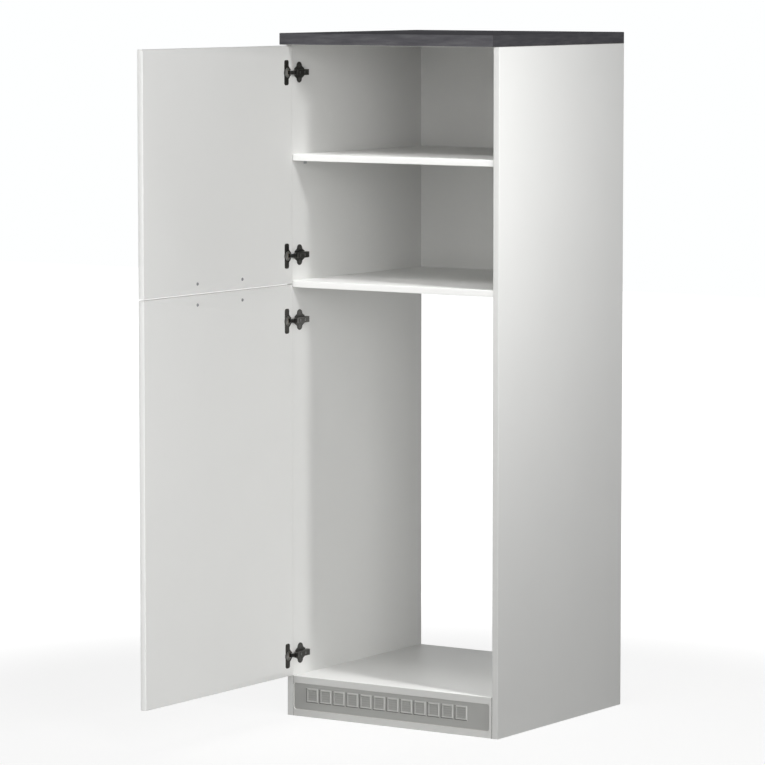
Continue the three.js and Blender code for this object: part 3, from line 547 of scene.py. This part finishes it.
top_mesh = merged_copy("top_plate", "top_plate_laminate")
top = fitted(top_mesh, "top_plate", slate_finish(), BOARD_EASING)
shine_on(key_lamp, "EXCLUDE", right_side, top)
shine_on(right_lamp, "EXCLUDE", right_side)
shine_on(high_side_lamp, "INCLUDE", right_side, top)
shine_on(near_side_lamp, "INCLUDE", right_side)
shine_on(low_side_lamp, "INCLUDE", right_side)
shine_on(shelf_lamp, "INCLUDE", fixed_shelf, loose_shelf)

# Beech dowels hold the top plate down on the side panels and the plinth board between them. They are
# turned, with straight flutes for the glue and a chamfer at both ends.
BEECH = ((0.0, (0.45, 0.28, 0.14)), (0.5, (0.58, 0.39, 0.21)), (1.0, (0.68, 0.49, 0.29)))
FLUTES = 18
FLUTE_DEPTH = 0.00025
DOWEL_CHAMFER = 0.001
DOWEL_SIDES = 108
WOOD_STRETCH = 0.06
WOOD_FIBRES_PER_METRE = 900.0
RAYS_PER_METRE = 2600.0
RAY_SHARE = 0.25
BEECH_ROUGHNESS = 0.72
BEECH_RELIEF = 0.00008
CORNERS = ("front_left", "front_right", "rear_left", "rear_right")


def ring_mesh(name, rings):
    """A closed mesh from rings of points, each ring joined to the next, with a flat face at both ends."""
    count, sides = rings.shape[:2]
    index = np.arange(count * sides).reshape(count, sides)
    ahead = np.roll(index, -1, axis=1)
    quads = np.stack((index[:-1], ahead[:-1], ahead[1:], index[1:]), axis=-1).reshape(-1, 4)
    mesh = bpy.data.meshes.new(name)
    faces = [index[0, ::-1].tolist(), index[-1].tolist(), *quads.tolist()]
    mesh.from_pydata(rings.reshape(-1, 3).tolist(), [], faces)
    return mesh


def revolved(along, radius, turn, centre, axis):
    """Rings about a line through centre: each point lies at centre + along * axis + radius * (cos, sin)
    of its turn, in the two directions square to the axis."""
    forward, right, up = (np.eye(3)[(axis + step) % 3] for step in range(3))
    along, radius, turn = np.broadcast_arrays(along, radius, turn)
    rings = along[..., None] * forward + (radius * np.cos(turn))[..., None] * right
    return np.asarray(centre) + rings + (radius * np.sin(turn))[..., None] * up


def dowel_mesh(name, node, axis):
    """A fluted bar. Its radius is that of the dowel less a flute's depth times a power of a cosine of the
    turn, and it narrows over the chamfers."""
    low, high = (np.array(corner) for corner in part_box(node))
    centre = (low + high) / 2.0
    half = (high[axis] - low[axis]) / 2.0
    full = (high - low)[axis - 1] / 2.0
    along = half * np.array([-1.0, -1.0, 1.0, 1.0]) + DOWEL_CHAMFER * np.array([0.0, 1.0, -1.0, 0.0])
    shrink = DOWEL_CHAMFER * np.array([1.0, 0.0, 0.0, 1.0])
    turn = np.linspace(0.0, 2.0 * np.pi, DOWEL_SIDES, endpoint=False)[None]
    flute = FLUTE_DEPTH * (0.5 + 0.5 * np.cos(FLUTES * turn)) ** 2
    return ring_mesh(name, revolved(along[:, None], full - shrink[:, None] - flute, turn, centre, axis))


def beech_finish(axis):
    """Beech with its grain along the dowel and short darker rays."""
    beech = Finish("beech " + "xyz"[axis])
    stretch = [1.0, 1.0, 1.0]
    stretch[axis] = WOOD_STRETCH
    fibre = beech.grain(WOOD_FIBRES_PER_METRE, detail=4.0, stretch=stretch)
    rays = beech.grain(RAYS_PER_METRE, detail=1.0, stretch=stretch)
    tone = fibre * (1.0 - RAY_SHARE) + rays * RAY_SHARE
    shade = beech.add("ValToRGB", {"stops": BEECH}, Fac=tone)
    return beech.done(Base_Color=shade, Roughness=BEECH_ROUGHNESS, Normal=beech.bump(fibre, BEECH_RELIEF))


for axis, nodes in (
    (2, [f"top_dowel_{corner}" for corner in CORNERS]),
    (0, ["plinth_dowel_left", "plinth_dowel_right"]),
):
    wood = beech_finish(axis)
    for node in nodes:
        fitted(dowel_mesh(node + "_beech", node, axis), node, wood)

# Cam fittings are die-cast zinc housings let into a board from below, each with the bolt that it draws
# in from the side panel. A slot in the housing takes the screwdriver.
ZINC = (0.50, 0.51, 0.52)
ZINC_ROUGHNESS = 0.38
TARNISH_PER_METRE = 60.0
TARNISH_SHARE = 0.82
SCRATCHES_PER_METRE = 2500.0
SCRATCH_STRETCH = (0.25, 1.0, 1.0)
SCRATCH_LEVEL = 0.3
SCRATCH_ROUGHNESS = 0.08
PLATED = 0.95
METAL_RELIEF = 0.00001
CAST_EASING = 0.0002


def metal_finish(name, colour, roughness, tone=None):
    """Plated metal: a soft cloud in its colour, fine scratches in its gloss and a faint orange peel."""
    metal = Finish(name)
    cloud = metal.grain(TARNISH_PER_METRE, detail=4.0)
    scratches = metal.grain(SCRATCHES_PER_METRE, detail=2.0, stretch=SCRATCH_STRETCH)
    plain = metal.deepened(cloud, colour, TARNISH_SHARE)
    shade = tone(metal, plain) if tone else plain
    dulled = roughness + SCRATCH_ROUGHNESS * (scratches - SCRATCH_LEVEL)
    return metal.done(Base_Color=shade, Metallic=PLATED, Roughness=dulled,
                      Normal=metal.bump(scratches + cloud, METAL_RELIEF))


zinc = metal_finish("die-cast zinc", ZINC, ZINC_ROUGHNESS)
for board_name in ("shelf", "bottom"):
    for corner in CORNERS:
        node = f"{board_name}_cam_{corner}"
        fitted(merged_copy(node, node + "_casting"), node, zinc, CAST_EASING)

# Each support of the loose shelf is a small pressed angle on a pin, bright zinc plated, pushed into a
# hole in the side panel.
BRIGHT_ZINC = (0.58, 0.59, 0.60)
BRIGHT_ROUGHNESS = 0.3
ANGLE_EASING = 0.0002

bright_zinc = metal_finish("bright zinc", BRIGHT_ZINC, BRIGHT_ROUGHNESS)
for corner in CORNERS:
    node = f"shelf_pin_{corner}"
    fitted(merged_copy(node, node + "_angle"), node, bright_zinc, ANGLE_EASING)

# The plinth board closes the front below the bottom panel. A pocket with painted edges is milled into
# it for the grille, with a window through to the space behind.
POCKET = 0.0022
# The plinth's colour is the melamine darkened, a painted shade for its front face, which the lamps light
# less than the other boards.
PLINTH_PAINTED_SHADE = (0.62, 0.62, 0.605)
# Width of the painted shadow at the plinth's ends, for the shade in the open joints beside the side
# panels.
PLINTH_JOINT = 0.0009

plinth = board("plinth_board", 1, ("head", "foot"), POCKET, PLINTH_PAINTED_SHADE, joint=PLINTH_JOINT)
shine_on(high_right_lamp, "EXCLUDE", right_side, bottom)
shine_on(rear_lamp, "EXCLUDE", bottom, plinth, floor)
shine_on(sill_lamp, "INCLUDE", bottom, plinth)
shine_on(crossing_lamp, "INCLUDE", bottom, plinth, fixed_shelf, loose_shelf)

# The vent grille is one moulding in grey plastic, satin and a little pearly, with a row of ridged cells
# that louvres close to view. It snaps into the plinth board's window.
GREY_PLASTIC = (0.43, 0.43, 0.415)
# Painted highlight for the frames' heads and right sides, and painted shadow for their left sides and
# feet.
FRAME_PAINTED_HIGHLIGHT = (0.57, 0.57, 0.55)
FRAME_PAINTED_SHADOW = (0.12, 0.12, 0.113)
FIRST_CELL = -0.22895
CELL_PITCH = 0.0387
CELLS = 12
CELL_LEVEL = 0.05325
FRAME_INSIDE = 0.0124
FRAME_OUTSIDE = 0.01835
FRAME_FOOT = 0.0153
FRAME_LEFT = 0.0148
FRAME_DEPTH = 0.0015
# Share of the painted shadow on the inner left side of each frame.
INNER_PAINTED_SHADE_SHARE = 0.4
FLOW_PER_METRE = 25.0
FLOW_SHARE = 0.93
ERODED_PER_METRE = 3200.0
PLASTIC_ROUGHNESS = 0.46
ERODED_ROUGHNESS = 0.1
ERODED_RELIEF = 0.00003
MOULDED_EASING = 0.00015


def painted_frame_light(plastic):
    """Where the frames of the cells get a painted highlight, along their heads and right sides, and a
    painted shadow, along their left sides and feet, as light from the upper right would fall on them."""
    count = (plastic.x - FIRST_CELL) * (1.0 / CELL_PITCH) + 0.5
    across = (count.math("FRACT") - 0.5) * CELL_PITCH
    rise = plastic.z - CELL_LEVEL
    front = plastic.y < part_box("vent_grille")[0].y + FRAME_DEPTH
    in_row = (count > 0.0) * (count < float(CELLS)) * front
    in_frame = in_row * (abs(across) < FRAME_OUTSIDE) * (abs(rise) < FRAME_OUTSIDE)
    bright = (across > FRAME_INSIDE).math("MAXIMUM", rise > FRAME_INSIDE)
    sill = (rise < -FRAME_INSIDE) * (rise > -FRAME_FOOT)
    dull = (across < -FRAME_LEFT).math("MAXIMUM", rise < -FRAME_FOOT)
    # A lighter painted shade on each frame's inner left side.
    dull = dull.math("MAXIMUM", INNER_PAINTED_SHADE_SHARE * (across < -FRAME_INSIDE))
    return in_frame * bright.math("MAXIMUM", sill), in_frame * dull


def plastic_finish():
    """Moulded plastic: a fine spark-eroded grain, flow clouds, a little sheen, and painted highlights and
    shadows on the cells' frames.
    """
    plastic = Finish("grey plastic")
    cloud = plastic.grain(FLOW_PER_METRE)
    eroded = plastic.grain(ERODED_PER_METRE, detail=2.0)
    bright, dull = painted_frame_light(plastic)
    shade = plastic.deepened(cloud, GREY_PLASTIC, FLOW_SHARE)
    shade = plastic.mix(dull, plastic.mix(bright, shade, FRAME_PAINTED_HIGHLIGHT), FRAME_PAINTED_SHADOW)
    return plastic.done(Base_Color=shade, Roughness=PLASTIC_ROUGHNESS + ERODED_ROUGHNESS * eroded,
                        Normal=plastic.bump(eroded, ERODED_RELIEF))


grille_mesh = merged_copy("vent_grille", "vent_grille_moulding")
fitted(grille_mesh, "vent_grille", plastic_finish(), MOULDED_EASING)

# The two doors are boards like the side panels, banded all round, bored for the hinge cups and for the
# handles' screws. The bands along the head and the foot are matt.
DOOR_BAND = (0.93, 0.93, 0.915)
DOOR_BANDED = ("front", "rear", "foot", "head")


def door(node):
    """A door in place of its node. Faces that lie at its head or foot have the matt band's material."""
    made = board(node, 0, DOOR_BANDED, band_white=DOOR_BAND)
    matt = board_finish(node, 0, DOOR_BANDED, SKIN, MELAMINE, DOOR_BAND, joint=0.0, gloss=0.0)
    matt.name = node + " matt band"
    made.data.materials.append(matt)
    centres = np.empty(3 * len(made.data.polygons))
    made.data.polygons.foreach_get("center", centres)
    level = centres.reshape(-1, 3)[:, 2]
    low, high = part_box(node)
    at_end = (level < low.z + SKIN) | (level > high.z - SKIN)
    made.data.polygons.foreach_set("material_index", at_end.astype(np.int32))
    return made


shine_on(door_lamp, "INCLUDE", door("lower_door"), door("upper_door"))

# A bow handle stands on the outer face of each door: a flat steel bar bent down to two feet, brushed
# along its length, with broken edges.
STEEL = (0.60, 0.60, 0.59)
STEEL_SHARE = 0.8
HAIRLINES_PER_METRE = 3000.0
HAIRLINE_STRETCH = (1.0, 0.012, 1.0)
HAIRLINE_SHARE = 0.6
STEEL_CLOUDS_PER_METRE = 30.0
STEEL_ROUGHNESS = 0.27
HAIRLINE_ROUGHNESS = 0.14
HANDLE_EASING = 0.0009


def brushed_finish():
    """Steel with hairlines along Y in its gloss and relief."""
    steel = Finish("brushed steel")
    lines = steel.grain(HAIRLINES_PER_METRE, stretch=HAIRLINE_STRETCH)
    cloud = steel.grain(STEEL_CLOUDS_PER_METRE)
    dark = lines * HAIRLINE_SHARE + cloud * (1.0 - HAIRLINE_SHARE)
    roughness = STEEL_ROUGHNESS + HAIRLINE_ROUGHNESS * lines
    return steel.done(Base_Color=steel.deepened(dark, STEEL, STEEL_SHARE), Metallic=1.0,
                      Roughness=roughness, Normal=steel.bump(lines, METAL_RELIEF))


brushed = brushed_finish()
for storey in ("lower", "upper"):
    node = storey + "_handle"
    fitted(merged_copy(node, node + "_bow"), node, brushed, HANDLE_EASING)

# Two machine screws hold each handle through the door, with round heads on the inner face. Each head
# has a cross for the driver.
HEAD_ZINC = (0.30, 0.30, 0.31)
HEAD_ROUGHNESS = 0.45
ROUND_HEAD = (
    (0.0022, 0.00215),
    (0.0022, 0.0036),
    (0.0021, 0.00372),
    (0.0018, 0.00375),
    (0.0012, 0.00362),
    (0.0007, 0.0033),
    (0.0004, 0.0029),
)
HEAD_DOME = 0.0004
HEAD_CROSS = (0.0009, 0.0040, 0.0013)
MACHINE_THREAD = (0.0007, 0.0003, 0.002)
FLANK_START = 1.6
FLANK_SLOPE = 4.0
THREAD_STEPS = 8
SCREW_SIDES = 40
CROWN_RINGS = 18
DRIVE_SOFT = 0.00018
DRIVE_TAPER = 0.5


def screw_mesh(node, threading, head, dome, drive):
    """A screw along X. Its thread's radius rises from its root to its crest and back once in each pitch,
    shifted along by the turn. Its head follows the stations given, a distance below the crown and a
    radius, and its crown is a dome of the form 1 - r squared, with a cross let in: a point sinks where it
    lies within the bars' half width and half length. threading holds the thread's pitch, its depth and
    its crest's radius, and drive the cross's bars: width, length and depth."""
    pitch, thread, crest = threading
    low, high = (np.array(corner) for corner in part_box(node))
    centre = np.array((0.0, (low[1] + high[1]) / 2.0, (low[2] + high[2]) / 2.0))
    turn = np.linspace(0.0, 2.0 * np.pi, SCREW_SIDES, endpoint=False)[None]
    neck = high[0] - head[0][0]
    along = np.arange(low[0] + thread, neck, pitch / THREAD_STEPS)[:, None]
    phase = (along / pitch - turn / (2.0 * np.pi)) % 1.0
    fade = np.clip((along - low[0] - thread) / pitch, 0.0, 1.0) * np.clip((neck - along) / pitch, 0.0, 1.0)
    root = crest - thread
    ridge = np.clip(FLANK_START - FLANK_SLOPE * np.abs(phase - 0.5), 0.0, 1.0)
    threaded = np.stack(np.broadcast_arrays(along, root + thread * ridge * fade), axis=-1)
    tip = np.broadcast_to(np.array([[[low[0], root - thread]]]), (1, SCREW_SIDES, 2))
    stations = np.array([(high[0] - below, radius) for below, radius in head])
    rim = np.broadcast_to(stations[:, None], (len(head), SCREW_SIDES, 2))
    edge = head[-1][1]
    radius = edge * (1.0 - (np.arange(1, CROWN_RINGS) / CROWN_RINGS))[:, None]
    height = high[0] - head[-1][0] + dome * (1.0 - (radius / edge) ** 2)
    width, length, depth = drive
    sides = np.abs(np.stack((radius * np.cos(turn), radius * np.sin(turn))))
    within = np.clip((width / 2.0 - sides.min(axis=0)) / DRIVE_SOFT, 0.0, 1.0)
    reach = np.clip((length / 2.0 - sides.max(axis=0)) / DRIVE_SOFT, 0.0, 1.0)
    sunk = height - depth * within * reach * (1.0 - DRIVE_TAPER * radius / (length / 2.0))
    crown = np.stack(np.broadcast_arrays(sunk, radius), axis=-1)
    path = np.concatenate((tip, threaded, rim, crown))
    return ring_mesh(node + "_cut", revolved(path[..., 0], path[..., 1], turn, centre, 0))


screw_zinc = metal_finish("dull zinc", HEAD_ZINC, HEAD_ROUGHNESS)
for storey in ("lower", "upper"):
    for place in ("inner", "outer"):
        node = f"{storey}_handle_screw_{place}"
        mesh = screw_mesh(node, MACHINE_THREAD, ROUND_HEAD, HEAD_DOME, HEAD_CROSS)
        fitted(mesh, node, screw_zinc)

# The concealed hinges are pressed steel, plated a dark bronze. The cup is knocked into the door with
# two dowels, and the link swings out of it through a notch.
BRONZED = (0.055, 0.053, 0.047)
CUP_INSIDE = (0.42, 0.417, 0.40)
CUP_ROUGHNESS = 0.42
# The link's near-black colour is partly its dark finish and partly painted shade, for the shadow that it
# lies in.
LINK_DARK_AND_PAINTED_SHADE = (0.016, 0.016, 0.015)
LINK_ROUGHNESS = 0.45
HINGE_EASING = 0.00025
hinges = [f"{storey}_{place}" for storey in ("lower", "upper") for place in ("bottom", "top")]


def cup_tone(metal, plain):
    """Brighter plating inside the bowl, below the door's face."""
    inside = metal.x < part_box("lower_door")[1].x
    return metal.mix(inside, plain, CUP_INSIDE)


cup_steel = metal_finish("bronzed steel cup", BRONZED, CUP_ROUGHNESS, cup_tone)
link_steel = metal_finish("dark steel link", LINK_DARK_AND_PAINTED_SHADE, LINK_ROUGHNESS)
for hinge in hinges:
    node = hinge + "_hinge_cup"
    fitted(merged_copy(node, node + "_pressing"), node, cup_steel, HINGE_EASING)
    node = hinge + "_hinge_link"
    fitted(merged_copy(node, node + "_strip"), node, link_steel, HINGE_EASING)

# The arm is a folded channel clipped over the mounting plate, with two setting screws, and the plate is
# screwed to the side panel through its wings.
ARM_SHADE = (0.085, 0.083, 0.077)
ARM_ROUGHNESS = 0.36
SETTING_SCREWS = (0.008, 0.0273)
SETTING_RADIUS = 0.0033
SETTING_DEPTH = 0.002
HEAD_SHADE = (0.21, 0.21, 0.205)
PLATE_SHADE = (0.090, 0.089, 0.083)
PLATE_ROUGHNESS = 0.4
SCREW_SHADE = (0.13, 0.128, 0.12)
SCREW_ROUGHNESS = 0.36
SUNK_HEAD = ((0.0021, 0.0023), (0.0003, 0.0043), (0.0001, 0.0045), (0.0, 0.0044), (0.0, 0.0042))
SUNK_CROSS = (0.0011, 0.0050, 0.0016)
BOARD_THREAD = (0.0016, 0.0006, 0.0024)


def arm_finish(node):
    """Dark steel with brighter heads where the two setting screws lie."""
    low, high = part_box(node)

    def tone(metal, plain):
        heads = 0.0
        for place in SETTING_SCREWS:
            away = (metal.y - place) * (metal.y - place)
            level = metal.z - (low.z + high.z) / 2.0
            heads = heads + (away + level * level < SETTING_RADIUS ** 2)
        return metal.mix(heads * (metal.x > high.x - SETTING_DEPTH), plain, HEAD_SHADE)

    return metal_finish(node + " steel", ARM_SHADE, ARM_ROUGHNESS, tone)


plate_steel = metal_finish("bronzed steel plate", PLATE_SHADE, PLATE_ROUGHNESS)
screw_steel = metal_finish("bronzed screws", SCREW_SHADE, SCREW_ROUGHNESS)
for hinge in hinges:
    node = hinge + "_hinge_arm"
    fitted(merged_copy(node, node + "_channel"), node, arm_finish(node), HINGE_EASING)
    node = hinge + "_mounting_plate"
    fitted(merged_copy(node, node + "_pressing"), node, plate_steel, HINGE_EASING)
    for place in ("low", "high"):
        node = f"{hinge}_plate_screw_{place}"
        mesh = screw_mesh(node, BOARD_THREAD, SUNK_HEAD, 0.0, SUNK_CROSS)
        fitted(mesh, node, screw_steel)
